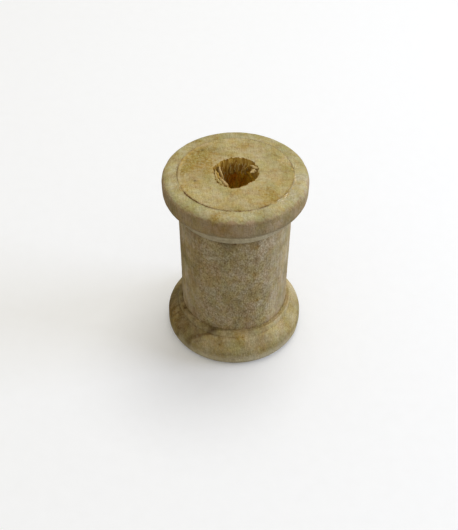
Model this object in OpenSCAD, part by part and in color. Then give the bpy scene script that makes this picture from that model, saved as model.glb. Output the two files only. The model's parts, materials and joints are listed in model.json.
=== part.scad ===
// Bare wooden thread spool, built up from three turned pieces.
//
// A straight dowel runs the full height and is bored through for a spool pin.
// A moulded flange ring is glued round each end of it, flush with the end face,
// and the thread is wound on the dowel between the two rings.
//
// Origin: centre of the lower end face, on the bore's axis. +Z up the bore.

/* [Spool] */
// Height over both end faces
spool_h = 31; // [24:0.5:50]
// Diameter over the flange rims
flange_d = 22; // [21:0.5:30]

/* [Core] */
// Diameter of the dowel, which is also the winding barrel
core_d = 17.3; // [14:0.1:17.4]
// Diameter of the through bore
bore_d = 6.8; // [5:0.1:9]
// Bevel on each side of a glue line, where it shows as a ring in the end face
glue_line_bevel = 0.12; // [0.05:0.01:0.3]

/* [Flange] */
// Radius that rounds the rim into the end face
edge_r = 1.2; // [0.6:0.1:1.6]
// Height of the straight band round the rim
rim_band_h = 1.3; // [0.4:0.1:2]
// Radius of the rounded shoulder between the rim and the bead
shoulder_r = 2.3; // [1.9:0.1:2.4]
// Height of the bead that ends the flange against the barrel
bead_h = 1.2; // [0.8:0.1:1.6]
// How far the bead stands out from the barrel
bead_proud = 0.57; // [0.5:0.01:0.65]
// Depth of the groove between the shoulder and the bead
groove_depth = 0.14; // [0.05:0.01:0.2]

/* [Hidden] */

$fn = 96;
arc_steps = 10;

flange_r = flange_d / 2;
core_r = core_d / 2;
bore_r = bore_d / 2;
bead_r = core_r + bead_proud;
groove_r = bead_r - groove_depth;

// Heights up one flange, measured from its end face. The shoulder's arc ends in
// the groove, or at its own top if the flange is too wide for it to get there.
shoulder_z = edge_r + rim_band_h;
shoulder_cr = flange_r - shoulder_r;
shoulder_end = acos(max(0, (groove_r - shoulder_cr) / shoulder_r));
groove_z = shoulder_z + shoulder_r * sin(shoulder_end);
flange_h = groove_z + bead_h;

// Points along an arc about (cx, cz), from angle a0 to a1
function arc(cx, cz, rx, rz, a0, a1) = [
    for (i = [0 : arc_steps])
        let (a = a0 + (a1 - a0) * i / arc_steps)
        [cx + rx * cos(a), cz + rz * sin(a)]
];

// Half section of one flange: radius, then height from its end face
flange_section = concat(
    [[core_r, glue_line_bevel], [core_r + glue_line_bevel, 0]],
    arc(flange_r - edge_r, edge_r, edge_r, edge_r, -90, 0),
    arc(shoulder_cr, shoulder_z, shoulder_r, shoulder_r, 0, shoulder_end),
    arc(groove_r, groove_z + bead_h / 2, groove_depth, bead_h / 2, -90, 90),
    [[core_r, flange_h]]
);

// Half section of the dowel between its bore and its outside
core_section = [
    [bore_r, 0],
    [core_r - glue_line_bevel, 0],
    [core_r, glue_line_bevel],
    [core_r, spool_h - glue_line_bevel],
    [core_r - glue_line_bevel, spool_h],
    [bore_r, spool_h]
];

// Straight dowel, bored through
module core() {
    color("burlywood")
        rotate_extrude()
            polygon(core_section);
}

// One flange ring, with its end face at z = 0 and its bead upward
module flange_ring() {
    rotate_extrude()
        polygon(flange_section);
}

module lower_flange() {
    color("tan")
        flange_ring();
}

module upper_flange() {
    color("tan")
        translate([0, 0, spool_h])
            mirror([0, 0, 1])
                flange_ring();
}

core();
upper_flange();
lower_flange();
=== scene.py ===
"""A bare wooden thread spool: a bored dowel core with a moulded flange ring glued round each end.

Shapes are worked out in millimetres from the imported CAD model, and turned into metres when a mesh
is made. Azimuths are degrees round the spool's axis, from +X towards +Y; the camera is at -90.
"""
import json
import math

import bpy
import numpy as np
from mathutils import Euler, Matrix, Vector


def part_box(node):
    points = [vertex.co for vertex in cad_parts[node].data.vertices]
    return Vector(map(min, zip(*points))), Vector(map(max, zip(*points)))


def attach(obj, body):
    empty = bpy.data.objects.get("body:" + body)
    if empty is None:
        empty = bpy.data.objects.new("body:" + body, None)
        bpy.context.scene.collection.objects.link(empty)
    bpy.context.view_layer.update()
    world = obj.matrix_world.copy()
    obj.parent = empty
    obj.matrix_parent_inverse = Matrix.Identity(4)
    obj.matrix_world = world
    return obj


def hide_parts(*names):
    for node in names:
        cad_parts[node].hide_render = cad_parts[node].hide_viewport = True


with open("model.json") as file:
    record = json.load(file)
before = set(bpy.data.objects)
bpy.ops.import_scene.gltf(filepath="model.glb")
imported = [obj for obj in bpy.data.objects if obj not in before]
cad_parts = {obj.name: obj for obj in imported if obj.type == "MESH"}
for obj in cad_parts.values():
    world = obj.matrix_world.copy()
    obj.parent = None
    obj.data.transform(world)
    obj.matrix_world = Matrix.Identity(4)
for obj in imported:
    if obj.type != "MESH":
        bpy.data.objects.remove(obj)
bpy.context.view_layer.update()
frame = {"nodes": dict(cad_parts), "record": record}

# ---- sizes, in millimetres
MM = 0.001
CORE_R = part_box("core")[1].x / MM
SPOOL_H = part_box("core")[1].z / MM
FLANGE_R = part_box("lower_flange")[1].x / MM
FLANGE_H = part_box("lower_flange")[1].z / MM
BORE_R = next(m["dims"]["r_mm"] for m in frame["record"]["mounts"] if m["name"] == "spool_bore")

GLUE_FILM = 0.01  # between a ring's hole and the dowel
GLUE_HOLDS = 0.95  # how well the glue line is still closed at its one tight place
GLUE_HOLDS_AT = (-155, 6)  # that place's azimuth, and its width in degrees
BARREL_SWELL = 0.03  # the barrel is this much over the dowel's size under the upper ring
BARREL_TAPER = 0.18  # and this much slimmer at its foot
GLUE_GAP_DEPTH = 0.07  # a parted glue line closes over about this depth
RING_SET_BACK = 0.03  # a flange's end face lies this far below the dowel's at the glue line
CORE_COLUMNS = 368  # points round the core
RING_COLUMNS = 480  # points round a flange
FRONT = -90  # the camera's azimuth
ON_IT = 0.001  # a grid point this close to a surface lies on it
ENDS = ((True, SPOOL_H, -1), (False, 0, 1))  # is it the upper, its height, and the way into the wood


# ---- repeatable noise
def lattice(cell, seed):
    """A fixed value from -1 to 1 for each whole-number point."""
    x, y, z = (cell[..., axis].astype(np.uint32) for axis in range(3))
    mixed = x * np.uint32(374761393) + y * np.uint32(668265263) + z * np.uint32(2246822519)
    mixed = mixed + np.uint32(seed * 40503 + 977)
    mixed = (mixed ^ (mixed >> 13)) * np.uint32(1274126177)
    mixed = (mixed ^ (mixed >> 15)) * np.uint32(2654435761)
    return (mixed >> 8) / 2.0**23 - 1


def noise(points, seed):
    """Smooth noise from -1 to 1, with one value per unit of distance."""
    cell = np.floor(points)
    part = points - cell
    ease = part * part * (3 - 2 * part)
    cell = cell.astype(np.int64)
    total = np.zeros(points.shape[:-1])
    for corner in np.ndindex(2, 2, 2):
        share = np.where(np.array(corner) == 1, ease, 1 - ease).prod(axis=-1)
        total += share * lattice(cell + np.array(corner), seed)
    return total


def rough(points, seed, octaves=3):
    """Noise with finer noise on top of it."""
    return sum(noise(points * 2**k, seed + k) / 2**k for k in range(octaves))


def smooth(value, low, high):
    """0 below low, 1 above high, and a smooth step between them."""
    share = np.clip((value - low) / (high - low), 0, 1)
    return share * share * (3 - 2 * share)


def hump(value, centre, width):
    """1 at the centre, falling smoothly to 0 on both sides of it."""
    return np.exp(-(((value - centre) / width) ** 2))


def around(az, centre, width):
    """A hump round one azimuth; centre and width are in degrees."""
    away = np.angle(np.exp(1j * (az - math.radians(centre))))
    return hump(away, 0, math.radians(width))


def circle(az):
    """Points round a circle, for noise that joins up all the way round."""
    return np.stack([np.cos(az), np.sin(az), np.zeros_like(az)], axis=-1)


# ---- turned grids
def walk(stops):
    """Points round a closed outline of (radius, height, spacing) stops.

    The spacing goes evenly from one stop's to the next's, so small features get more points.
    """
    points = []
    for (r0, z0, gap0), (r1, z1, gap1) in zip(stops, stops[1:] + stops[:1]):
        length = math.hypot(r1 - r0, z1 - z0)
        ratio = gap1 / gap0
        if abs(ratio - 1) < 0.01:
            steps = max(1, round(length / gap0))
            share = np.arange(steps) / steps
        else:
            steps = max(1, round(length * math.log(ratio) / (gap1 - gap0)))
            share = (ratio ** (np.arange(steps) / steps) - 1) / (ratio - 1)
        points += [(r0 + (r1 - r0) * s, z0 + (z1 - z0) * s) for s in share]
    return np.array(points)


def upright(r, *stops):
    """Stops of an outline at one radius, from (height, spacing) pairs."""
    return [(r, z, gap) for z, gap in stops]


class Turned:
    """A closed grid round the axis: a row for each point of the outline, a column for each azimuth.

    The outline runs up the outside, and so anticlockwise with radius to the right and height up.
    """

    def __init__(self, outline, columns):
        self.az = np.linspace(-math.pi, math.pi, columns, endpoint=False)[None, :]
        self.plain_r = np.repeat(outline[:, :1], columns, axis=1)
        self.plain_z = np.repeat(outline[:, 1:], columns, axis=1)
        self.r = self.plain_r.copy()
        self.z = self.plain_z.copy()
        self.masks = {}

    def points(self):
        return np.stack([self.r * np.cos(self.az), self.r * np.sin(self.az), self.z], axis=-1)

    def shape(self):
        """The grid's points, four-sided faces and masks."""
        rows, columns = self.r.shape
        index = np.arange(rows * columns).reshape(rows, columns)
        right = np.roll(index, -1, axis=1)
        quads = np.stack([index, right, np.roll(right, -1, axis=0), np.roll(index, -1, axis=0)], axis=-1)
        masks = {name: np.broadcast_to(mask, self.r.shape).ravel() for name, mask in self.masks.items()}
        return self.points().reshape(-1, 3), quads.reshape(-1, 4), masks


# ---- marks in the wood
def patches(points, spots):
    """How strongly spots mark each point. Their edges are ragged."""
    ragged = 1 + 0.35 * rough(points * (0.9, 0.9, 0.5), 310) + 0.25 * noise(points * (2.6, 2.6, 1.2), 317)
    total = np.zeros(points.shape[:-1])
    for *centre, radius, strength in spots:
        away = np.linalg.norm(points - centre, axis=-1) * ragged / radius
        total += strength * np.exp(-(away**2))
    return np.clip(total, 0, 1)


def growth(points, pith, spacing, line_at, seed):
    """Growth rings counted out from the tree's pith, with the thin line of one through line_at.

    The whole number is the ring, and the line lies half way through it. The grain runs along Z.
    """
    wander = rough(points * (0.11, 0.11, 0.03), seed)
    reach = np.hypot(points[..., 0] - pith[0], points[..., 1] - pith[1])
    line_reach = math.hypot(line_at[0] - pith[0], line_at[1] - pith[1])
    return (reach - line_reach + 0.5 * wander) / spacing + 0.5


# Where each piece is stained orange, dirty, or bleached, and where painted shade darkens it along with the
# dirt: the centre's x, y, z, a radius and a strength.
TOP = SPOOL_H
CORE_STAINS = (
    (-5.8, 4.1, TOP, 2.8, 1.0), (-7.0, 1.6, TOP, 2.2, 0.7), (-3.8, 1.0, TOP, 0.6, 1.0),
    (0.1, -4.4, TOP, 0.9, 0.8), (4.7, -5.0, TOP, 1.8, 0.8), (6.7, -1.2, TOP, 1.3, 0.6),
    (7.3, 2.0, TOP, 1.2, 0.7), (1.4, 7.1, TOP, 1.5, 0.6), (-5.6, -2.6, TOP, 1.3, 0.5),
    (-7.9, -3.4, TOP, 0.8, 0.8), (-2.0, -6.3, TOP, 1.2, 0.35), (4.0, -1.5, 0, 2.5, 0.6),
    (6.0, -6.3, TOP, 0.9, 0.9), (7.5, -4.3, TOP, 0.6, 0.8), (3.6, -7.7, TOP, 0.9, 0.6),
    (-4.0, 0.4, TOP, 0.9, 0.9), (-0.4, 3.7, 27.6, 0.9, 1.0), (-0.9, 3.6, 26.4, 0.9, 1.0),
    (3.17, -8.06, 23.6, 0.40, 1.0), (2.99, -8.07, 18.0, 0.45, 0.9), (3.57, -7.76, 12.1, 0.45, 1.0),
    (4.73, -7.05, 7.1, 0.5, 1.0), (-5.0, -7.0, 18.3, 3.0, 0.35), (0.5, 8.6, 15.0, 3.0, 0.3),
)
# The two patches on the barrel just under the upper ring, at the front, are partly dirt and partly painted
# shade under the ring.
CORE_DIRT_AND_SHADE = (
    (-1.3, -8.6, 24.7, 1.5, 0.55), (-4.5, -8.0, 5.8, 1.2, 0.6), (-5.05, 5.5, TOP, 0.28, 0.9),
    (-5.95, -1.95, TOP, 0.25, 0.9), (3.2, -8.0, 24.4, 0.7, 0.6), (5.0, 7.0, 9.0, 2.0, 0.3),
)
CORE_PALE = (
    (3.0, 4.5, TOP, 2.0, 0.5), (-2.2, -5.0, TOP, 1.6, 0.5), (4.2, 0.2, TOP, 1.6, 0.5),
    (-4.5, -3.5, TOP, 1.0, 0.4), (0.8, -8.4, 13.5, 4.0, 0.7), (1.6, -8.4, 21.5, 2.5, 0.6),
)
UPPER_STAINS = (
    (-2.7, -10.0, 30.9, 1.0, 0.9), (-1.7, -10.9, 29.1, 1.2, 0.6), (-3.9, 9.0, TOP, 1.5, 0.6),
    (3.0, 10.0, TOP, 1.0, 0.5), (9.8, 3.0, TOP, 1.0, 0.3), (-10.0, 4.0, TOP, 1.2, 0.3),
)
UPPER_DIRT = ((4.5, 9.6, 30.6, 0.8, 0.4), (-8.0, 7.3, 28.0, 2.0, 0.3))
UPPER_PALE = (
    (6.5, -7.5, 30.8, 2.0, 0.6), (10.2, -2.0, 30.5, 3.0, 0.9), (-9.4, -3.6, TOP, 0.7, 0.9),
)
LOWER_STAINS = (
    (-10.4, -2.6, 3.4, 1.8, 0.9), (0.6, -9.3, 5.2, 0.9, 0.7),
    (-9.3, -5.1, 3.8, 2.6, 0.6), (-2.6, -10.2, 3.6, 1.6, 0.5), (1.2, -9.5, 4.7, 1.3, 0.6),
    (4.6, -9.6, 3.0, 1.0, 0.5), (8.9, -5.0, 3.9, 0.9, 0.5), (2.0, 10.5, 3.0, 3.0, 0.4),
)
# The broad patches at the left and front-left of the lower ring are partly dirt and partly painted shade on
# the side away from the lamps.
LOWER_DIRT_AND_SHADE = (
    (-10.4, 0.6, 4.6, 4.4, 1.0), (-8.4, -5.8, 4.6, 3.0, 0.65), (-3.4, -8.6, 5.8, 0.8, 0.6),
    (-6.4, 8.5, 4.0, 3.0, 0.5), (9.9, -1.8, 4.4, 3.0, 0.16),
)
LOWER_PALE = ((-2.4, -10.0, 3.6, 2.6, 0.6), (6.4, -8.2, 4.0, 2.6, 0.5), (9.6, -0.5, 4.6, 2.4, 0.5))


def mark(masks, points, stains, dirt_and_shade, pale):
    """Sets the masks of a piece's stained places, its places of dirt and painted shade, and its bleached
    places.
    """
    masks["stain"] = patches(points, stains)
    masks["dirt_and_shade"] = patches(points, dirt_and_shade)
    masks["pale"] = patches(points, pale)


# ---- the joint between core and ring
# Where the glue line has parted: azimuth, width in degrees, and how much wider it is there, in mm.
# The upper end's come first, and then the lower end's.
GLUE_PARTINGS = (
    ((-144, 7, 0.08), (-133, 13, 0.05), (-112, 22, 0.035), (-82, 24, 0.035), (-58, 9, 0.03),
     (-36, 8, 0.02), (-16, 6, 0.02), (178, 9, 0.03), (12, 6, 0.03)),
    ((40, 20, 0.12), (-60, 35, 0.06), (150, 40, 0.05)),
)


def glue_gap(az, upper):
    """Half the width of the parted glue line round an end face."""
    gap = 0.012 + 0.010 * rough(circle(az) * 7, 31 if upper else 47) + 0.014 * noise(circle(az) * 45, 35)
    for centre, width, more in GLUE_PARTINGS[0 if upper else 1]:
        gap = gap + more * around(az, centre, width)
    return np.maximum(gap * (1 - GLUE_HOLDS * around(az, *GLUE_HOLDS_AT)), 0.005)


def glue_dirt(outward, az, gap):
    """Dirt in the parted glue line, outward mm past it. There is little where the line is closed."""
    wander = 0.05 * rough(circle(az) * 38, 24, 2)
    breadth = (0.7 * gap + 0.12) * (1 + 0.5 * noise(circle(az) * 50, 27))
    return hump(outward, wander, breadth) * (0.08 + 0.87 * smooth(gap, 0.014, 0.075))


# ---- core
def core_outline():
    """Up the barrel, in across the upper end, down the bore and out across the lower end."""
    under_ring = SPOOL_H - FLANGE_H
    lower_half = upright(CORE_R, (0, 0.05), (0.8, 0.25), (FLANGE_H - 0.8, 1.2), (FLANGE_H + 0.1, 0.18))
    upper_half = upright(
        CORE_R, (SPOOL_H / 2, 0.32), (under_ring - 0.1, 0.18), (under_ring + 0.8, 1.2), (SPOOL_H - 0.8, 0.25)
    )
    upper_end = [(CORE_R, SPOOL_H, 0.05), (CORE_R - 0.6, SPOOL_H, 0.16), (BORE_R + 1.0, SPOOL_H, 0.20)]
    bore = upright(
        BORE_R, (SPOOL_H, 0.07), (SPOOL_H - 3.8, 0.15), (SPOOL_H - 8, 0.7), (6, 1.5), (1.6, 0.25)
    )
    lower_end = [(BORE_R, 0, 0.07), (BORE_R + 1.0, 0, 0.25), (CORE_R - 0.6, 0, 0.25)]
    return walk(lower_half + upper_half + upper_end + bore + lower_end)


# How the bore's torn mouth departs from its circle: azimuth, width in degrees, and reach in mm.
# The upper mouth's come first, and then the lower mouth's.
MOUTH_TEARS = (
    ((68, 52, 0.45), (-52, 24, -0.40), (-98, 9, 0.12), (-172, 34, -0.28), (-2, 22, -0.16), (160, 5, 0.22)),
    ((-30, 30, 0.25), (120, 40, 0.15), (-150, 25, -0.12)),
)


def mouth_reach(az, upper):
    """How far the torn mouth of the bore reaches out past the bore itself."""
    seed = 3 if upper else 19
    reach = 0.03 + 0.13 * np.abs(rough(circle(az) * 8, seed, 2)) + 0.11 * noise(circle(az) * 17, seed + 5)
    for centre, width, more in MOUTH_TEARS[0 if upper else 1]:
        reach = reach + more * around(az, centre, width)
    return reach


def strand_relief(points):
    """Torn strands down the bore, -1 in the gaps and 1 on the crests. They lean and wander a little."""
    lean = 0.35 * rough(points * (0.5, 0.5, 0.45), 70)
    turned = np.stack([points[..., 0] + lean, points[..., 1] - lean, points[..., 2]], axis=-1)
    strands = 1 - 2.8 * np.abs(noise(turned * (1.9, 1.9, 0.34), 71))
    threads = noise(turned * (5.0, 5.0, 0.9), 72)
    return np.clip(0.75 * strands + 0.55 * threads, -1, 1)


def strand_foot(az):
    """How far below the upper mouth the torn strands break off and leave the bore wider, in mm."""
    return 2.5 + 0.45 * rough(circle(az) * 3, 57, 2) + 0.45 * noise(circle(az) * 16, 59)


def bore_wall(grid, in_bore, relief):
    """Torn strands down the bore, and a ragged mouth at each end of it."""
    from_top = SPOOL_H - grid.plain_z
    near_end = np.minimum(from_top, grid.plain_z)
    upper_mouth = mouth_reach(grid.az, True) * hump(from_top, 0, 1.1)
    lower_mouth = mouth_reach(grid.az, False) * hump(grid.plain_z, 0, 1.1)
    foot = strand_foot(grid.az)
    broken = smooth(from_top, foot - 0.1, foot + 0.15) * (1 - smooth(from_top, 8, 14))
    shift = upper_mouth + lower_mouth - 0.20 * relief * smooth(near_end, -0.3, 0.5) + 0.32 * broken
    grid.r += np.where(in_bore, shift, 0)


def face_crack(points):
    """1 along the fine crack that runs from the bore to the glue line at the right of the upper face."""
    middle = 0.56 + 0.06 * noise(points * (1.1, 0, 0), 8)
    return hump(points[..., 1], middle, 0.10) * (points[..., 0] > 0)


def end_faces(grid, on_end):
    """The core's two sawn end faces: stretched round the torn mouth, rough, and rounded at the rim."""
    points = grid.points()
    for upper, level, inward in ENDS:
        mine = on_end & (np.abs(grid.plain_z - level) < 0.01)
        mouth = mouth_reach(grid.az, upper)
        share = (grid.plain_r - BORE_R) / (CORE_R - BORE_R)
        grid.r += np.where(mine, mouth * (1 - share), 0)
        seed = 5 if upper else 15
        sawn = 0.030 * (1.2 + rough(points * (1.1, 1.7, 0), seed, 2))
        pits = 0.014 * (1 + noise(points * (5, 5, 0), seed + 4))
        lip = 0.10 * np.exp(-(grid.plain_r - BORE_R) / 0.25)
        grid.z += np.where(mine, inward * (sawn + pits + lip), 0)
    crack = face_crack(points) * smooth(grid.plain_r, 3.8, 4.6)
    grid.z -= np.where(on_end & (grid.plain_z > 1), 0.05 * crack, 0)


def core_rims(grid):
    """Rounds the core's outer edge into the glue line, more where the line has parted."""
    for upper, level, inward in ENDS:
        gap = glue_gap(grid.az, upper)
        depth = np.abs(grid.plain_z - level)
        on_face = (depth < 0.01) & (grid.plain_r > BORE_R + 1)
        on_side = (grid.plain_r > CORE_R - 0.01) & (depth < 3)
        edge = np.clip(1 - (CORE_R - grid.plain_r) / (2.2 * gap + 0.06), 0, 1) ** 2
        grid.z += np.where(on_face, inward * edge * (0.6 * gap + 0.015), 0)
        grid.r -= np.where(on_side, gap * np.exp(-depth / GLUE_GAP_DEPTH), 0)


def quarter_sawn(az):
    """1 on the left and right, where the rays lie flat and the fibres show as lines."""
    return smooth(np.abs(np.cos(az)), 0.50, 0.85)


def barrel(grid, on_barrel):
    """The winding barrel: a slight taper, a turned surface a little out of true, and raised grain."""
    points = grid.points()
    lower_ring, upper_ring = FLANGE_H, SPOOL_H - FLANGE_H
    up = (grid.plain_z - lower_ring) / (upper_ring - lower_ring)
    above = smooth(grid.plain_z, lower_ring - 0.5, lower_ring)
    below = 1 - smooth(grid.plain_z, upper_ring, upper_ring + 0.5)
    taper = BARREL_SWELL * smooth(up, 0, 1) - BARREL_TAPER * (1 - np.clip(up, 0, 1))
    waver = 0.035 * rough(points * (0.25, 0.25, 0.12), 61)
    quarter = quarter_sawn(grid.az)
    flecks = 0.042 * (1 - 0.6 * quarter) * rough(points * (2.6, 0.8, 1.7), 62, 2)
    flecks += 0.018 * quarter * noise(points * (3.0, 3.0, 0.25), 64)
    under_ring = -0.05 * (1 - smooth(upper_ring - grid.plain_z, 0.0, 0.5))
    grid.r += np.where(on_barrel, above * below * (taper + waver + flecks + under_ring), 0)


def bore_masks(grid, in_bore, near_end, relief):
    """Where the bore's wall is torn, where its strands stand up, and how deep in it lies."""
    cleaner = 1 - 0.45 * (1 - smooth(grid.plain_z, 2, 6))
    foot = strand_foot(grid.az)
    below_foot = smooth(SPOOL_H - grid.plain_z, foot - 0.1, foot + 0.3)
    masks = grid.masks
    masks["torn"] = np.where(in_bore, smooth(near_end, -0.1, 0.15) * cleaner, 0)
    masks["crest"] = 0.5 + 0.5 * relief
    # Further in, the depth mask makes the wall brighter and more golden, which is partly painted light on
    # the deep wall.
    masks["depth"] = np.where(in_bore, 0.12 + 0.5 * below_foot + 0.38 * smooth(near_end, 4, 9), 0)


def core_grime_and_shade(grid, points, on_barrel, on_end, near_end):
    """Dirt and painted shade at the barrel's two feet, under the rings, dirt along the glue line, and in the
    crack in the upper face.
    """
    ragged = 1 + 0.7 * rough(points * (1.6, 1.6, 1.2), 66, 2)
    # Partly dirt, partly painted shade: the barrel darkens next to each ring, where the ring shades it.
    foot = np.exp(-np.abs(near_end - FLANGE_H) / (0.42 * ragged + 0.05)) * on_barrel
    glue = glue_dirt(grid.plain_r - CORE_R, grid.az, glue_gap(grid.az, True)) * (near_end < 3)
    crack = 0.35 * face_crack(points) * on_end * (grid.plain_z > 1)
    return np.clip(0.6 * foot + glue + crack, 0, 1)


def core_wear_and_highlight(grid, points, on_barrel, on_end):
    """Pale wear at the left of the end face and the barrel's right, and a painted highlight along the back
    of the bore's mouth.
    """
    frayed = 0.55 + 0.45 * noise(points * (2.2, 2.2, 0), 91)
    rim = frayed * hump(CORE_R - grid.plain_r, 0.3, 0.18) * on_end * around(grid.az, 168, 30)
    # Painted highlight: the back of the mouth's edge is made pale, where lifted torn fibres would catch the
    # light.
    mouth = np.exp(-np.abs(grid.plain_r - BORE_R) / 0.16) * on_end * around(grid.az, 95, 75)
    sunned = 0.12 * around(grid.az, -22, 34) * on_barrel
    return np.clip(rim + 0.55 * mouth + sunned, 0, 1)


def make_core():
    """The bored dowel: its shape first, and then the masks that its wood is coloured by."""
    grid = Turned(core_outline(), CORE_COLUMNS)
    in_bore = grid.plain_r < BORE_R + ON_IT
    on_barrel = grid.plain_r > CORE_R - ON_IT
    at_end = (grid.plain_z > SPOOL_H - ON_IT) | (grid.plain_z < ON_IT)
    on_end = at_end & ~on_barrel
    relief = strand_relief(grid.points())
    bore_wall(grid, in_bore & ~on_end, relief)
    end_faces(grid, on_end)
    core_rims(grid)
    barrel(grid, on_barrel)

    points = grid.points()
    near_end = np.minimum(SPOOL_H - grid.plain_z, grid.plain_z)
    masks = grid.masks
    bore_masks(grid, in_bore, near_end, relief)
    masks["grime_and_shade"] = core_grime_and_shade(grid, points, on_barrel, on_end, near_end)
    masks["end_grain"] = np.where(on_end, 1.0, 0.0)
    masks["worn"] = core_wear_and_highlight(grid, points, on_barrel, on_end)
    masks["growth"] = growth(points, pith=(9, 64), spacing=2.9, line_at=(6, 0.6), seed=81)
    masks["lines"] = 0.6
    masks["quarter"] = quarter_sawn(grid.az)
    mark(masks, points, CORE_STAINS, CORE_DIRT_AND_SHADE, CORE_PALE)
    return grid


# ---- flange rings
def ring_profile():
    """The flange's outer radius at each height above its end face, read off the CAD ring."""
    ring = frame["nodes"]["lower_flange"].data.vertices
    points = np.array([v.co for v in ring]) / MM
    height = points[:, 2].round(3)
    radius = np.hypot(points[:, 0], points[:, 1])
    outside = radius > CORE_R + 0.3
    levels = np.unique(height[outside])
    return levels, np.array([radius[outside & (height == level)].max() for level in levels])


def ring_outline():
    """Out across the end face, up over the rim, shoulder, groove and bead, and down the hole."""
    hole_r = CORE_R + GLUE_FILM
    levels, widest = ring_profile()
    height = np.linspace(0, FLANGE_H, 400)
    outside = np.interp(height, levels, widest)
    face = np.linspace(hole_r, outside[0], 40)[:-1]
    top = np.linspace(outside[-1], hole_r, 20)[1:]
    r = np.concatenate([face, outside, top])
    z = np.concatenate([np.zeros(len(face)), height, np.full(len(top), FLANGE_H)])
    travelled = np.concatenate([[0], np.cumsum(np.hypot(np.diff(r), np.diff(z)))])
    even = np.linspace(0, travelled[-1], 150)
    r, z = np.interp(even, travelled, r), np.interp(even, travelled, z)
    for _ in range(3):
        r[1:-1] = (r[:-2] + 2 * r[1:-1] + r[2:]) / 4
        z[1:-1] = (z[:-2] + 2 * z[1:-1] + z[2:]) / 4
    hole = walk(upright(hole_r, (FLANGE_H, 0.1), (FLANGE_H - 0.8, 0.8), (0.8, 0.8), (0, 0.05)))
    end = next(k for k in range(1, len(hole)) if hole[k][1] <= 0.04)
    return np.concatenate([np.stack([r, z], axis=-1), hole[1:end]])


def dents(points, seed):
    """A few shallow knocks round the rim."""
    draw = np.random.default_rng(seed)
    depth = np.zeros(points.shape[:-1])
    for _ in range(16):
        az = draw.uniform(-math.pi, math.pi)
        place = np.array([FLANGE_R * math.cos(az), FLANGE_R * math.sin(az), draw.uniform(0.3, 3.2)])
        size = draw.uniform(0.35, 0.9)
        away = np.linalg.norm((points - place) * (1, 1, 1.4), axis=-1)
        depth += draw.uniform(0.02, 0.06) * hump(away, 0, size)
    return depth


# The lower rim's three small nicks, at the front: their azimuths, and the height of their middles.
NICKS_AT = (-99.0, -95.2, -91.0)
NICK_HEIGHT = 1.1


class Ring(Turned):
    """A flange ring, modelled with its end face down."""

    def __init__(self, upper, seed, groove_at):
        super().__init__(ring_outline(), RING_COLUMNS)
        self.upper = upper
        self.seed = seed
        self.plain = self.points()
        self.gap = glue_gap(self.az, upper)
        self.inner = self.plain_r < CORE_R + GLUE_FILM + ON_IT
        self.outer = ~self.inner
        self.from_line = self.plain_r - CORE_R
        self.from_bead = FLANGE_H - self.plain_z
        self.hold = smooth(self.from_line, 0.15, 0.6)
        self.facing = around(self.az, FRONT, 62)
        self.bead = hump(self.from_bead, 0.60, 0.36) * self.outer
        self.groove = hump(self.from_bead, 1.25, 0.30) * self.outer
        self.sharp = 0.15 + 0.85 * around(self.az, groove_at, 45)


def ring_face(ring):
    """The end face: set back from the dowel's, and parted from it along the glue line."""
    on_face = (ring.plain_z < 1.2) & ring.outer
    set_back = RING_SET_BACK * (1 - smooth(ring.from_line, 0.5, 2.2)) * (1 - smooth(ring.plain_z, 0, 1.0))
    edge = np.clip(1 - ring.from_line / (2.2 * ring.gap + 0.06), 0, 1) ** 2 * (ring.plain_z < 0.5)
    teeth = 0.016 * (1 + rough(ring.plain * (1.3, 1.9, 0.5), ring.seed))
    sawn = teeth * (1 - smooth(ring.plain_z, 0.3, 1.4))
    ring.z += np.where(on_face, set_back + edge * (0.6 * ring.gap + 0.015) + sawn, 0)
    meets_barrel = (0 if ring.upper else BARREL_TAPER) * (1 - smooth(ring.from_bead, 0.2, 0.8))
    opened = ring.gap * np.exp(-ring.plain_z / GLUE_GAP_DEPTH) - meets_barrel
    at_line = on_face & (ring.from_line < 0.1)
    ring.r += np.where(ring.inner, opened, 0) + np.where(at_line, ring.gap * edge, 0)


def ring_outside(ring):
    """The turned outside: a little out of true, worn soft, and knocked."""
    wear = 0.030 * (1 + rough(ring.plain * 0.22, ring.seed + 3))
    wear += 0.012 * (1 + noise(ring.plain * (1.6, 1.6, 0.9), ring.seed + 6))
    worn = np.maximum(wear + dents(ring.plain, ring.seed + 9), 0) * ring.hold
    ring.r -= np.where(ring.outer & (ring.from_line > 0.15), worn, 0)


def groove_fill(ring):
    """How far the groove is filled. It is sharp only round part of the spool."""
    if ring.upper:
        return 0.38 * hump(ring.from_bead, 1.22, 0.36) * (1 - ring.sharp) * ring.outer
    merged = hump(ring.from_bead, 1.25, 0.50) * around(ring.az, -84, 42) * ring.outer
    return 0.15 * ring.groove * (1 - ring.sharp) + 0.30 * merged


def ring_bead(ring):
    """The bead and its groove, a little uneven, and the lower rim's nicks."""
    if ring.upper:
        ring.r -= 0.10 * np.exp(-ring.from_bead / 0.16) * ring.outer * ring.hold
    else:
        nicks = sum(around(ring.az, at, 1.3) for at in NICKS_AT)
        ring.r -= 0.16 * nicks * hump(ring.plain_z, NICK_HEIGHT, 0.5) * ring.outer
    filled = groove_fill(ring)
    uneven = 0.03 * rough(ring.plain * (0.35, 0.35, 0), ring.seed + 12)
    tucked = 0.36 * hump(ring.from_bead, 1.85, 0.55) * around(ring.az, FRONT, 60) * ring.outer * ring.upper
    ring.r += (ring.bead * (0.08 + uneven) - 0.05 * ring.groove * ring.sharp + filled - tucked) * ring.hold
    taller = 0.12 * around(ring.az, -50, 70) * (not ring.upper)
    ring.z += (filled + taller * smooth(ring.from_bead, 1.1, 0.2)) * ring.hold
    flat_end = (ring.from_bead < 0.05) & ring.outer
    ring.z -= np.where(flat_end, 0.03 * (1 + noise(ring.plain * (0.9, 0.9, 0), ring.seed + 14)), 0)


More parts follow.
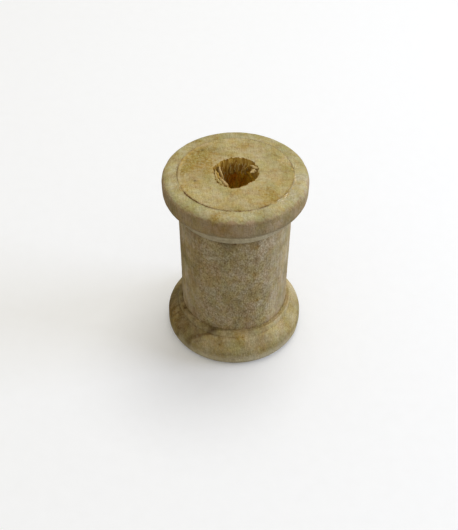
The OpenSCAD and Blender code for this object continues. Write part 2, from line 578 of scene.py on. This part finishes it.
def ring_wear_and_painted_light(ring):
    """Pale rubbed wood, most of it on the side that faces the camera. On the upper ring it is also painted
    light from the floor, under the shoulder and on the bead.
    """
    if ring.upper:
        # Partly rubbed wood, partly painted bounce light: the upper shoulder's underside and bead are made
        # paler.
        rubbed = smooth(ring.plain_z, 2.9, 3.9) * (0.25 + 0.75 * ring.facing)
    else:
        rubbed = 0.1 * ring.bead + 0.75 * (1 - smooth(ring.plain_z, 1.2, 2.8)) * ring.facing
    return np.clip(rubbed * ring.outer, 0, 1)


def make_ring(upper, seed, groove_at, lines_at, pith, spacing, line_at, marks):
    """A flange ring with its masks, turned over if it is the upper one.

    groove_at is the azimuth where the groove is sharpest, and lines_at where growth rings show most, with
    any painted shadow in their late wood.
    """
    ring = Ring(upper, seed, groove_at)
    ring_face(ring)
    ring_outside(ring)
    ring_bead(ring)

    masks = ring.masks
    glue = glue_dirt(ring.from_line, ring.az, ring.gap) * (ring.plain_z < 1.5)
    # Grime in the groove and the glue line; the darkening at the bead's edge, next to the barrel, is partly
    # dirt and partly painted shade.
    under_bead_grime_and_shade = np.exp(-ring.from_bead / 0.20) * ring.outer
    masks["grime_and_shade"] = np.clip(0.30 * ring.groove * ring.sharp + 0.2 * under_bead_grime_and_shade + glue, 0, 1)
    masks.update(torn=0.0, crest=1.0, depth=0.0)
    ragged = 1 + 0.8 * noise(ring.plain * (1.6, 1.6, 0.5), seed + 26)
    masks["end_grain"] = (1 - smooth(ring.plain_z * ragged, 0.30, 0.50)) * ring.outer
    masks["worn"] = ring_wear_and_painted_light(ring)
    masks["growth"] = growth(ring.points(), pith, spacing, line_at, seed + 20)
    masks["lines"] = 0.15 + 0.85 * around(ring.az, lines_at, 24)
    masks["quarter"] = quarter_sawn(ring.az)
    if upper:
        ring.z = SPOOL_H - ring.z
    mark(masks, ring.points(), *marks)
    if upper:
        # Painted shade: a darker band just under the upper rim's rounded edge, most at the front, laid in
        # through the dirt mask.
        under_edge_shade = hump(ring.plain_z, 0.80, 0.32)
        masks["dirt_and_shade"] = np.maximum(masks["dirt_and_shade"], 0.30 * under_edge_shade * ring.facing)
    else:
        masks["pale"] = np.maximum(masks["pale"], 1 - smooth(ring.plain_z, 1.0, 2.4))
    return ring


# ---- splinters and torn fibres
# Every mask that a material reads, with its value on a splinter unless the splinter's own says otherwise.
FIBRE = {
    "torn": 0, "crest": 1, "depth": 0, "grime_and_shade": 0, "end_grain": 0, "worn": 0,
    "growth": 0.2, "lines": 0, "stain": 0, "dirt_and_shade": 0, "pale": 0, "quarter": 0,
}


def polar(r, az, z):
    return np.array([r * math.cos(az), r * math.sin(az), z])


def swept(sections, **marks):
    """A closed shape through equal rings of points, with one value for each mask."""
    sections = np.array(sections, float)
    steps, corners = sections.shape[:2]
    points = sections.reshape(-1, 3)
    index = np.arange(steps * corners).reshape(steps, corners)
    after = np.roll(index, -1, axis=1)
    quads = np.stack([index[:-1], after[:-1], after[1:], index[1:]], axis=-1).reshape(-1, 4)
    caps = []
    for ring in (index[0][::-1], index[-1]):
        for k in range(1, corners // 2):
            caps.append((ring[k - 1], ring[k], ring[-1 - k], ring[-k]))
    masks = {name: np.full(len(points), float(marks.get(name, value))) for name, value in FIBRE.items()}
    return points, np.concatenate([quads, caps]), masks


def splinter(path, side, width, thickness, **marks):
    """A tapered sliver of wood along a path of points; side is the direction of its flat."""
    path = np.array(path, float)
    taper = np.sin(np.linspace(0.35, math.pi - 0.12, len(path))) ** 0.7
    along = np.gradient(path, axis=0)
    along /= np.linalg.norm(along, axis=1, keepdims=True)
    flat = np.asarray(side, float) - along * (along @ np.asarray(side, float))[:, None]
    flat /= np.linalg.norm(flat, axis=1, keepdims=True)
    lift = np.cross(along, flat)
    turn = np.linspace(0, 2 * math.pi, 6, endpoint=False)[None, :, None]
    size = taper[:, None, None] / 2
    offsets = width * np.cos(turn) * flat[:, None] + thickness * np.sin(turn) * lift[:, None]
    return swept(path[:, None] + size * offsets, **marks)


def curl(path, top, hang, width, end_width, seed, **marks):
    """A strip peeled off the bore's wall: a thin arc along path from above, hanging by its top edge."""
    path = np.array(path, float)
    share = np.linspace(0, 1, 40)
    travelled = np.concatenate([[0], np.cumsum(np.linalg.norm(np.diff(path, axis=0), axis=1))])
    line = np.stack([np.interp(share * travelled[-1], travelled, path[:, k]) for k in range(2)], axis=-1)
    for _ in range(12):
        line[1:-1] = (line[:-2] + 2 * line[1:-1] + line[2:]) / 4
    along = np.gradient(line, axis=0)
    across = np.stack([along[:, 1], -along[:, 0]], axis=-1) / np.linalg.norm(along, axis=1, keepdims=True)
    steps = np.stack([share * 9, 0 * share, 0 * share], axis=-1)
    line += (0.05 * noise(steps * 0.8, seed) + 0.012 * noise(steps * 2.2, seed + 1))[:, None] * across
    taper = np.sin(math.pi * np.clip(share, 0.03, 0.97)) ** 0.5
    half = (width + (end_width - width) * share) * (0.25 + 0.75 * taper) / 2
    half *= 1 + 0.25 * noise(steps * 1.6, seed + 2)
    top_edge = SPOOL_H - top - 0.10 * (1 + rough(steps * 1.5, seed + 3)) - 0.30 * (1 - taper)
    drop = hang * (0.4 + 0.6 * taper) * (1 + 0.25 * noise(steps, seed + 6))
    section = [(0, 0), (0.7, 0.03), (1, 0.10), (1, 0.45), (0.7, 0.8), (0.2, 1.0),
               (-0.2, 1.0), (-0.7, 0.8), (-1, 0.45), (-1, 0.10), (-0.7, 0.03), (-0.3, 0)]
    sections = []
    for k in range(len(share)):
        ring = []
        for out, down in section:
            ring.append((*(line[k] + half[k] * out * across[k]), top_edge[k] - drop[k] * down))
        sections.append(ring)
    return swept(sections, **marks)


def mouth_curls():
    """Strips peeled off the wall at the left of the upper mouth."""
    outer = [(-3.05, 1.25), (-3.0, 0.4), (-2.93, -0.5), (-2.7, -1.3), (-2.25, -1.95), (-1.75, -2.45)]
    inner = [(-2.60, 2.80), (-2.50, 2.1), (-2.36, 1.25), (-2.12, 0.42), (-1.79, -0.29)]
    shelf = [(-2.50, -0.1), (-2.25, -0.8), (-1.85, -1.5), (-1.40, -2.1), (-1.0, -2.7)]
    brown = [(-2.30, 0.3), (-2.05, -0.3), (-1.70, -0.8)]
    behind = [(-2.95, 1.5), (-2.80, 0.9), (-2.68, 0.3), (-2.50, -0.4), (-2.20, -1.0)]
    return [
        curl(outer, 0.05, 1.6, 0.26, 0.55, 401, torn=0.35, crest=0.5, end_grain=1),
        curl(inner, 0.30, 2.2, 0.36, 0.28, 411, torn=0.55, crest=0.6, worn=0.1),
        curl(shelf, 0.26, 1.6, 0.40, 0.55, 421, torn=0.50, crest=0.5),
        curl(brown, 0.75, 1.6, 0.40, 0.30, 431, torn=1, depth=0.1),
        curl(behind, 0.40, 2.4, 0.44, 0.40, 441, torn=0.95, crest=0.7),
    ]


def mouth_fibres():
    """Fibres that stand out of the bore's wall near its upper mouth, most of them at the torn left."""
    draw = np.random.default_rng(202)
    shapes = []
    for _ in range(40):
        az = math.radians(draw.choice([-150, 165, 140, 20, 60, -60]) + draw.normal(0, 20))
        top = SPOOL_H - draw.uniform(0.15, 2.2)
        length = draw.uniform(0.6, 1.8)
        lean = draw.uniform(0.05, 0.35)
        root = BORE_R + 0.05
        path = [polar(root - 0.8 * lean * s**2, az + draw.normal(0, 0.012), top - length * (1 - s))
                for s in np.linspace(0, 1, 6)]
        tangent = (-math.sin(az), math.cos(az), 0)
        width, thickness = draw.uniform(0.10, 0.24), draw.uniform(0.05, 0.10)
        worn = draw.uniform(0, 0.5)
        shapes.append(splinter(path, tangent, width, thickness, torn=0.8, depth=0.1, worn=worn))
    return shapes


# Tufts of lifted fibres inside the upper mouth: root, tip, depth and how many fibres.
TUFTS = (((2.98, 1.48), (2.46, 1.88), 0.12, 11), ((2.98, 0.98), (2.24, 0.55), 0.20, 10))


def pale_tufts():
    """Pale tufts of lifted fibres just inside the upper mouth, at the right."""
    draw = np.random.default_rng(77)
    shapes = []
    for root, tip, depth, count in TUFTS:
        for _ in range(count):
            start = np.array(root) + draw.normal(0, 0.10, 2)
            way = (np.array(tip) - root) * draw.uniform(0.5, 1.0) + draw.normal(0, 0.17, 2)
            top = SPOOL_H - depth - draw.uniform(-0.12, 0.12)
            path = [(*(start + way * s), top - 0.25 * (1 - s) ** 2) for s in np.linspace(0, 1, 7)]
            side = (-way[1], way[0], 0)
            width, thickness = draw.uniform(0.20, 0.34), draw.uniform(0.14, 0.22)
            shapes.append(splinter(path, side, width, thickness, worn=draw.uniform(0.6, 1), stain=0.65))
    return shapes


# Slivers off the bore's far wall: azimuth, depth of the top end below the upper face, and length.
SLIVERS = (
    (113, 2.6, 2.4), (106, 3.0, 1.7), (119, 2.2, 2.0), (88, 0.6, 1.9), (80, 0.8, 1.4),
    (62, 0.5, 1.8), (101, 1.4, 1.5), (70, 1.7, 1.3), (126, 1.0, 1.6),
)


def wall_slivers():
    """Pale-edged slivers that stand off the bore's far wall, below where the strands break off."""
    draw = np.random.default_rng(31)
    shapes = []
    for az, top, length in SLIVERS:
        az = math.radians(az)
        bow = draw.uniform(0.04, 0.09)
        path = [polar(BORE_R - 0.12, az + bow * math.sin(math.pi * s), SPOOL_H - top - length * s)
                for s in np.linspace(0, 1, 9)]
        tangent = (-math.sin(az), math.cos(az), 0)
        width, thickness = draw.uniform(0.14, 0.26), draw.uniform(0.08, 0.12)
        worn = draw.uniform(0.1, 0.35)
        shapes.append(splinter(path, tangent, width, thickness, torn=1, depth=0.1, worn=worn))
    return shapes


# Fibres raised along the glue line of the upper end: azimuth, spread in degrees, and how many.
RAISED = ((-51, 4, 8), (-36, 4, 7), (-13, 6, 9), (6, 2.5, 5), (-160, 2, 5), (-24, 9, 5))


def ring_fibres():
    """Torn fibres raised along the upper end's glue line: most at the right, a few at the left."""
    draw = np.random.default_rng(18)
    shapes = []
    for centre, spread, count in RAISED:
        for _ in range(count):
            az = math.radians(centre + draw.normal(0, spread))
            r = CORE_R + 0.12 + draw.normal(0, 0.14)
            sweep = draw.uniform(0.03, 0.10)
            lift = draw.uniform(0.0, 0.05)
            path = [polar(r + 0.04 * s, az + sweep * s, SPOOL_H - 0.07 + lift * math.sin(math.pi * s))
                    for s in np.linspace(0, 1, 6)]
            width, thickness = draw.uniform(0.14, 0.30), draw.uniform(0.07, 0.10)
            shapes.append(splinter(path, (math.cos(az), math.sin(az), 0), width, thickness,
                                   end_grain=1, worn=draw.uniform(0.3, 0.9), stain=draw.uniform(0.1, 0.9)))
    return shapes


# ---- pieces
def add(name, data):
    """A new object in the scene."""
    thing = bpy.data.objects.new(name, data)
    bpy.context.scene.collection.objects.link(thing)
    return thing


def facing_out(points, quads):
    """A closed shape's faces, turned over if they face into it."""
    a, b, c, d = (points[quads[:, k]] for k in range(4))
    volume = np.einsum("ij,ij->", a, np.cross(b, c)) + np.einsum("ij,ij->", a, np.cross(c, d))
    return quads if volume > 0 else quads[:, ::-1]


def make_piece(name, shapes, material, node):
    """One object out of closed shapes, standing for one CAD node."""
    start = np.cumsum([0] + [len(points) for points, _, _ in shapes])
    points = np.concatenate([points for points, _, _ in shapes])
    points[:, 2] = np.clip(points[:, 2], 0, SPOOL_H)
    quads = []
    for (own, faces, _), offset in zip(shapes, start):
        quads += (facing_out(own, faces) + offset).tolist()
    mesh = bpy.data.meshes.new(name)
    mesh.from_pydata((points * MM).tolist(), [], quads)
    for mask in FIBRE:
        values = np.concatenate([masks[mask] for _, _, masks in shapes]).astype(np.float32)
        mesh.attributes.new(mask, "FLOAT", "POINT").data.foreach_set("value", values)
    mesh.shade_smooth()
    mesh.materials.append(material)
    piece = add(name, mesh)
    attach(piece, "root")
    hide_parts(node)
    return piece


# ---- materials
def tone(red, green, blue):
    """A display colour, 0 to 255, as the linear colour that shaders use."""
    return tuple(((c / 255 + 0.055) / 1.055) ** 2.4 for c in (red, green, blue)) + (1,)


class Nodes:
    """Short calls for building one material's node tree."""

    def __init__(self, name, shift=(0, 0, 0)):
        self.shift = shift
        self.material = bpy.data.materials.new(name)
        self.material.use_nodes = True
        self.tree = self.material.node_tree
        self.shader = self.tree.nodes["Principled BSDF"]
        place = self.tree.nodes.new("ShaderNodeTexCoord").outputs["Object"]
        self.place = self.vector("SCALE", place, scale=1 / MM)

    def feed(self, socket, value):
        if isinstance(value, bpy.types.NodeSocket):
            self.tree.links.new(value, socket)
        else:
            socket.default_value = value

    def vector(self, operation, a, b=None, scale=None):
        node = self.tree.nodes.new("ShaderNodeVectorMath")
        node.operation = operation
        self.feed(node.inputs[0], a)
        if b is not None:
            self.feed(node.inputs[1], b)
        if scale is not None:
            node.inputs["Scale"].default_value = scale
        return node.outputs["Vector"]

    def maths(self, operation, a, b=0.0, clamp=False):
        node = self.tree.nodes.new("ShaderNodeMath")
        node.operation = operation
        node.use_clamp = clamp
        self.feed(node.inputs[0], a)
        self.feed(node.inputs[1], b)
        return node.outputs[0]

    def times(self, *values):
        """The product of values, no more than 1."""
        product = values[0]
        for value in values[1:]:
            product = self.maths("MULTIPLY", product, value, clamp=True)
        return product

    def mask(self, name):
        node = self.tree.nodes.new("ShaderNodeAttribute")
        node.attribute_name = name
        return node.outputs["Fac"]

    def stretched(self, stretch, more=0, shift=None):
        """Places in a texture of so many cells a millimetre along each axis, moved by shift and more."""
        shift = tuple(s + more for s in shift or self.shift)
        return self.vector("ADD", self.vector("MULTIPLY", self.place, stretch), shift)

    def noise(self, stretch, detail, roughness, more=0, shift=None):
        """Cloudy noise; more moves it away from other noise of the same size."""
        node = self.tree.nodes.new("ShaderNodeTexNoise")
        self.feed(node.inputs["Vector"], self.stretched(stretch, more, shift))
        node.inputs["Scale"].default_value = 1
        node.inputs["Detail"].default_value = detail
        node.inputs["Roughness"].default_value = roughness
        return node.outputs["Fac"]

    def cells(self, stretch):
        """Rounded cells, 0 at each one's middle."""
        node = self.tree.nodes.new("ShaderNodeTexVoronoi")
        self.feed(node.inputs["Vector"], self.stretched(stretch))
        node.inputs["Scale"].default_value = 1
        return node.outputs["Distance"]

    def step(self, value, low, high, to_low=0.0, to_high=1.0):
        node = self.tree.nodes.new("ShaderNodeMapRange")
        node.interpolation_type = "SMOOTHSTEP"
        for socket, number in zip(node.inputs, (value, low, high, to_low, to_high)):
            self.feed(socket, number)
        return node.outputs[0]

    def mix(self, share, under, over, mode="MIX"):
        node = self.tree.nodes.new("ShaderNodeMix")
        node.data_type = "RGBA"
        node.blend_type = mode
        self.feed(node.inputs[0], share)
        self.feed(node.inputs[6], under)
        self.feed(node.inputs[7], over)
        return node.outputs[2]


class Wood(Nodes):
    """Bare close-grained wood, cut from the solid: the grain runs along Z and the rays along Y.

    look holds its colours and strengths, and shift moves it through the noise.
    """

    def __init__(self, name, look, shift):
        super().__init__(name, shift)
        self.look = look
        self.end = self.mask("end_grain")
        self.side = self.maths("SUBTRACT", 1.0, self.end)
        self.colour = self.mix(self.end, look["long"], look["end"])

    def cover(self, colour, *shares):
        """Lays one of the look's colours over the wood, as far as the product of the shares."""
        self.colour = self.mix(self.times(*shares), self.colour, self.look[colour])

    def tint(self, colour, *shares):
        """Darkens the wood with one of the look's colours in the same way."""
        self.colour = self.mix(self.times(*shares), self.colour, self.look[colour], "MULTIPLY")


def wandering_tone(n):
    """Clouds of deeper, greener, paler, yellower and rosier wood."""
    n.cover("deep", n.step(n.noise((0.22, 0.30, 0.14), 3, 0.6), 0.38, 0.72, 0, 0.5))
    n.tint("green", n.step(n.noise((0.30, 0.25, 0.20), 2, 0.5, 31), 0.42, 0.66), 0.8)
    n.cover("pale", n.mask("pale"), 0.6)
    n.tint("yellow", n.step(n.noise((0.55, 0.60, 0.45), 3, 0.6, 47), 0.42, 0.60, 0, 0.8))
    n.tint("rosy", n.step(n.noise((0.9, 0.8, 0.55), 3, 0.6, 77), 0.44, 0.60))
    smudge = n.step(n.noise((0.55, 0.34, 0.48), 3, 0.65, 63), 0.44, 0.64)
    n.tint("smudge", smudge, n.side, n.look["smudges"])


def growth_rings(n):
    """Each ring darkens slowly to a thin line. On the lower ring's front-left that darkening is also painted
    shadow of the barrel.
    """
    ring = n.maths("FRACT", n.mask("growth"))
    after = n.step(ring, 0.54, 0.50)
    n.tint("late_and_shadow_tone", n.step(ring, 0.20, 0.50), after, n.mask("lines"), n.look["late_wood_and_shadow"])
    n.tint("line", n.step(ring, 0.46, 0.50), after, n.mask("lines"), n.look["ring_line"])


def ray_flecks(n, pebble):
    """Rays end on the front and back as short flecks, and lie along the left and right as lines."""
    quarter = n.mask("quarter")
    facing = n.maths("SUBTRACT", 1.0, n.maths("MULTIPLY", quarter, 0.7))
    flecks = n.times(facing, n.side, n.look["flecks"])
    n.tint("fleck", n.step(n.noise((3.6, 0.9, 2.6), 3, 0.7), 0.44, 0.62), flecks)
    n.tint("fleck", n.step(pebble, 0.40, 0.80), flecks)
    n.cover("pale", n.step(n.noise((4.2, 1.0, 3.0), 2, 0.6, 5), 0.56, 0.70), n.side, 0.30)
    n.tint("fibre", n.step(n.noise((7.0, 7.0, 0.25), 2, 0.6), 0.42, 0.62), quarter, n.side, 0.5)


def fibres_and_pores(n, fibre, pores):
    """Both run the length of the grain, and show as specks on an end."""
    n.tint("fibre", n.step(fibre, 0.40, 0.68, 0, 0.30))
    n.tint("pore", pores, 0.28)


def stains_dirt_and_shade(n, mottle):
    """Orange-brown stains, most of them in the end grain, and grey dirt, which also lays down painted shade.
    """
    cloud = n.noise((0.5, 0.6, 0.14), 4, 0.62, 9)
    washes = n.times(n.step(cloud, 0.50, 0.72), n.step(n.end, 0.0, 1.0, 0.12, 0.6))
    stained = n.maths("ADD", washes, n.mask("stain"), clamp=True)
    n.tint("stain", stained, n.step(mottle, 0.34, 0.62, 0.30, 1.0), 0.85)
    n.tint("fleck", n.step(n.noise((1.2, 1.7, 0.8), 3, 0.65), 0.46, 0.66), n.end, 0.30)
    n.tint("stain", n.step(mottle, 0.56, 0.72), n.end, 0.45)
    n.tint("dirt_and_shade", n.mask("dirt_and_shade"), n.step(mottle, 0.30, 0.60, 0.80, 1.0))


def torn_strands(n, fibre):
    """The bore's torn wood: browner in its gaps, greyer at the mouth, and brighter and more golden further
    in, which is partly painted light on the deep wall.
    """
    look = n.look
    strand = n.mix(n.mask("crest"), look["torn_gap"], look["torn_crest"])
    strand = n.mix(n.step(fibre, 0.42, 0.62, 0, 0.5), strand, look["torn_gap"])
    tint = n.mix(n.step(n.mask("depth"), 0.15, 0.70), look["torn_shallow"], look["torn_deep_painted_light"])
    strand = n.mix(1.0, strand, tint, "MULTIPLY")
    rust = n.times(n.mask("stain"), n.step(n.mask("depth"), 0.20, 0.55), 0.7)
    strand = n.mix(rust, strand, look["rust"], "MULTIPLY")
    n.colour = n.mix(n.times(n.mask("torn"), 0.92), n.colour, strand)


def grime_wear_and_painted_light(n, worn):
    """Dirt and painted shade in the corners, and pale wood along the worn edges, which also lays down
    painted highlight and painted bounce light.
    """
    patch = n.step(n.noise((2.2, 2.2, 2.2), 3, 0.7), 0.30, 0.65, 0.3, 1.0)
    n.tint("grime_and_shade", n.mask("grime_and_shade"), patch)
    worn_wood = n.mix(n.mask("stain"), n.look["worn"], n.look["stain"], "MULTIPLY")
    n.colour = n.mix(n.times(worn, 0.85), n.colour, worn_wood)


def wood(name, look, shift):
    """One piece's wood: its colour, laid down step by step, and then its roughness and its bumps."""
    n = Wood(name, look, shift)
    pebble = n.cells((3.8, 1.1, 2.9))
    fibre = n.noise((6.5, 6.5, 0.5), 2, 0.6)
    pores = n.step(n.cells((5.5, 5.5, 0.6)), 0.24, 0.12)
    mottle = n.noise((2.4, 2.8, 1.2), 3, 0.7)
    rubbed = n.step(n.noise((0.8, 0.8, 0.8), 3, 0.6, shift=(0, 0, 0)), 0.35, 0.60, 0.65, 1.0)
    # The worn mask also carries a painted highlight at the back of the bore's mouth and painted bounce light
    # under the upper ring's shoulder.
    worn = n.times(n.mask("worn"), rubbed)
    wandering_tone(n)
    growth_rings(n)
    ray_flecks(n, pebble)
    fibres_and_pores(n, fibre, pores)
    stains_dirt_and_shade(n, mottle)
    torn_strands(n, fibre)
    grime_wear_and_painted_light(n, worn)
    n.feed(n.shader.inputs["Base Color"], n.colour)

    dull = n.maths("SUBTRACT", n.step(fibre, 0.3, 0.7, 0.74, 0.90), n.times(worn, 0.12))
    n.feed(n.shader.inputs["Roughness"], dull)
    n.shader.inputs["Specular IOR Level"].default_value = 0.2

    bump = n.tree.nodes.new("ShaderNodeBump")
    bump.inputs["Strength"].default_value = 1.0
    bump.inputs["Distance"].default_value = 0.075 * MM
    height = n.maths("SUBTRACT", n.maths("MULTIPLY", fibre, 0.8), n.maths("MULTIPLY", pores, 0.5))
    height = n.maths("SUBTRACT", height, n.maths("MULTIPLY", pebble, 0.8))
    height = n.maths("ADD", height, n.maths("MULTIPLY", mottle, 0.9))
    n.feed(bump.inputs["Height"], height)
    n.feed(n.shader.inputs["Normal"], bump.outputs[0])
    return n.material


# Each wood's colours, and how strongly its smudges, late wood (on the lower ring also painted shadow), ring
# lines and flecks show.
CORE_LOOK = dict(
    long=tone(229, 216, 186), end=tone(201, 188, 141),
    deep=tone(176, 155, 108), green=tone(232, 238, 226), yellow=tone(253, 250, 220),
    rosy=tone(255, 248, 244), smudge=tone(210, 198, 172), smudges=0.45, pale=tone(205, 195, 158),
    late_and_shadow_tone=tone(214, 184, 138), late_wood_and_shadow=0.08, line=tone(196, 150, 96), ring_line=0.25,
    fleck=tone(184, 166, 134), flecks=0.50, fibre=tone(205, 186, 152), pore=tone(160, 122, 80),
    stain=tone(224, 196, 114), dirt_and_shade=tone(152, 144, 128),
    torn_crest=tone(246, 218, 112), torn_gap=tone(202, 152, 22),
    torn_shallow=tone(214, 206, 196), torn_deep_painted_light=tone(255, 248, 160), rust=tone(255, 206, 180),
    # The grime colour also serves as painted shade next to the rings and beads, and the worn colour as
    # painted highlight and painted bounce light.
    grime_and_shade=tone(154, 116, 46), worn=tone(244, 232, 196),
)
UPPER_LOOK = dict(CORE_LOOK, long=tone(201, 180, 146), end=tone(199, 191, 149), flecks=0.15, smudges=0.15,
                  pale=tone(208, 199, 170))
# The lower ring's strong late wood is partly growth ring and partly painted shadow of the barrel at its
# front-left.
LOWER_LOOK = dict(CORE_LOOK, long=tone(221, 208, 165), end=tone(199, 191, 149), flecks=0.30, smudges=0.45,
                  ring_line=0.5, line=tone(188, 156, 112), late_wood_and_shadow=0.65, late_and_shadow_tone=tone(178, 173, 160))


# ---- build the spool
core_grid = make_core()
upper_grid = make_ring(
    upper=True,
    seed=100,
    groove_at=120,
    lines_at=40,
    pith=(-20, 58),
    spacing=3.1,
    line_at=(-3, 3),
    marks=(UPPER_STAINS, UPPER_DIRT, UPPER_PALE),
)
lower_grid = make_ring(
    upper=False,
    seed=140,
    groove_at=-155,
    # Here the lower ring's late wood also lays painted shadow of the barrel over its front-left.
    lines_at=-122,
    pith=(3.8, 42),
    spacing=9.0,
    line_at=(-5, -8.3),
    marks=(LOWER_STAINS, LOWER_DIRT_AND_SHADE, LOWER_PALE),
)

core_wood = wood("core_wood", CORE_LOOK, (0, 0, 0))
upper_wood = wood("upper_flange_wood", UPPER_LOOK, (17, 5, 3))
lower_wood = wood("lower_flange_wood", LOWER_LOOK, (-8, 21, 11))

core_shapes = [core_grid.shape()]
for fibres in (mouth_curls, mouth_fibres, wall_slivers, pale_tufts, ring_fibres):
    core_shapes += fibres()
make_piece("wood_core", core_shapes, core_wood, "core")
make_piece("wood_upper_flange", [upper_grid.shape()], upper_wood, "upper_flange")
make_piece("wood_lower_flange", [lower_grid.shape()], lower_wood, "lower_flange")


# ---- studio
def make_floor():
    """A pale floor, 6 m across. The camera sees it paler than it lights the spool."""
    mesh = bpy.data.meshes.new("floor")
    half = 3.0
    corners = [(-half, -half, 0), (half, -half, 0), (half, half, 0), (-half, half, 0)]
    mesh.from_pydata(corners, [], [(0, 1, 2, 3)])
    floor = add("floor", mesh)
    n = Nodes("floor_paper")
    seen = n.tree.nodes.new("ShaderNodeLightPath").outputs["Is Camera Ray"]
    grain = n.noise((0.5, 0.5, 0.5), 3, 0.6)
    pale = n.mix(grain, tone(240, 240, 238), tone(246, 246, 244))
    n.feed(n.shader.inputs["Base Color"], n.mix(seen, tone(120, 118, 112), pale))
    n.shader.inputs["Emission Color"].default_value = (1, 1, 1, 1)
    n.feed(n.shader.inputs["Emission Strength"], n.maths("MULTIPLY", seen, 0.12))
    n.shader.inputs["Roughness"].default_value = 0.9
    n.shader.inputs["Specular IOR Level"].default_value = 0.1
    mesh.materials.append(n.material)


LAMP_DISTANCE = 0.45  # in metres, from the middle of the spool
LAMP_SIZE = 0.22  # in metres


def make_lamp(name, azimuth, elevation, watts, colour):
    """A square softbox that faces the middle of the spool."""
    light = bpy.data.lights.new(name, "AREA")
    light.shape = "SQUARE"
    light.size = LAMP_SIZE
    light.energy = watts
    light.color = colour
    lamp = add(name, light)
    az, el = math.radians(azimuth), math.radians(elevation)
    out = Vector((math.cos(az) * math.cos(el), math.sin(az) * math.cos(el), math.sin(el)))
    lamp.location = out * LAMP_DISTANCE + Vector((0, 0, SPOOL_H / 2 * MM))
    lamp.rotation_euler = out.to_track_quat("Z", "Y").to_euler()


def make_world(strength, colour):
    """Even light from all round, which the camera sees as a pale backdrop."""
    world = bpy.data.worlds.new("studio")
    world.use_nodes = True
    tree = world.node_tree
    light = tree.nodes["Background"]
    light.inputs["Color"].default_value = (*colour, 1)
    light.inputs["Strength"].default_value = strength
    backdrop = tree.nodes.new("ShaderNodeBackground")
    backdrop.inputs["Color"].default_value = tone(205, 204, 200)
    mixed = tree.nodes.new("ShaderNodeMixShader")
    tree.links.new(tree.nodes.new("ShaderNodeLightPath").outputs["Is Camera Ray"], mixed.inputs[0])
    tree.links.new(light.outputs[0], mixed.inputs[1])
    tree.links.new(backdrop.outputs[0], mixed.inputs[2])
    tree.links.new(mixed.outputs[0], tree.nodes["World Output"].inputs["Surface"])
    bpy.context.scene.world = world


def make_camera(elevation, distance, aim_height, lens, shift, roll):
    """Looks along +Y and down at the spool's axis, at the photograph's angle."""
    camera = bpy.data.cameras.new("camera")
    camera.lens = lens
    camera.shift_x = shift
    camera.clip_start = 0.01
    camera.clip_end = 10
    holder = add("camera", camera)
    el = math.radians(elevation)
    back = Vector((0, -math.cos(el), math.sin(el)))
    holder.location = back * distance * MM + Vector((0, 0, aim_height * MM))
    turn = back.to_track_quat("Z", "Y") @ Euler((0, 0, math.radians(roll))).to_quaternion()
    holder.rotation_euler = turn.to_euler()
    bpy.context.scene.camera = holder


make_floor()
make_world(strength=0.529, colour=(1.03, 1.0, 0.94))
make_lamp("side_softbox", azimuth=0, elevation=20, watts=0.81, colour=(0.90, 1.01, 1.32))
make_lamp("top_softbox", azimuth=60, elevation=70, watts=0.63, colour=(0.99, 1.0, 1.02))
make_camera(elevation=43.88, distance=150.6, aim_height=12.13, lens=63.34, shift=-5.55 / 530, roll=0.68)
bpy.context.scene.view_settings.view_transform = "Standard"
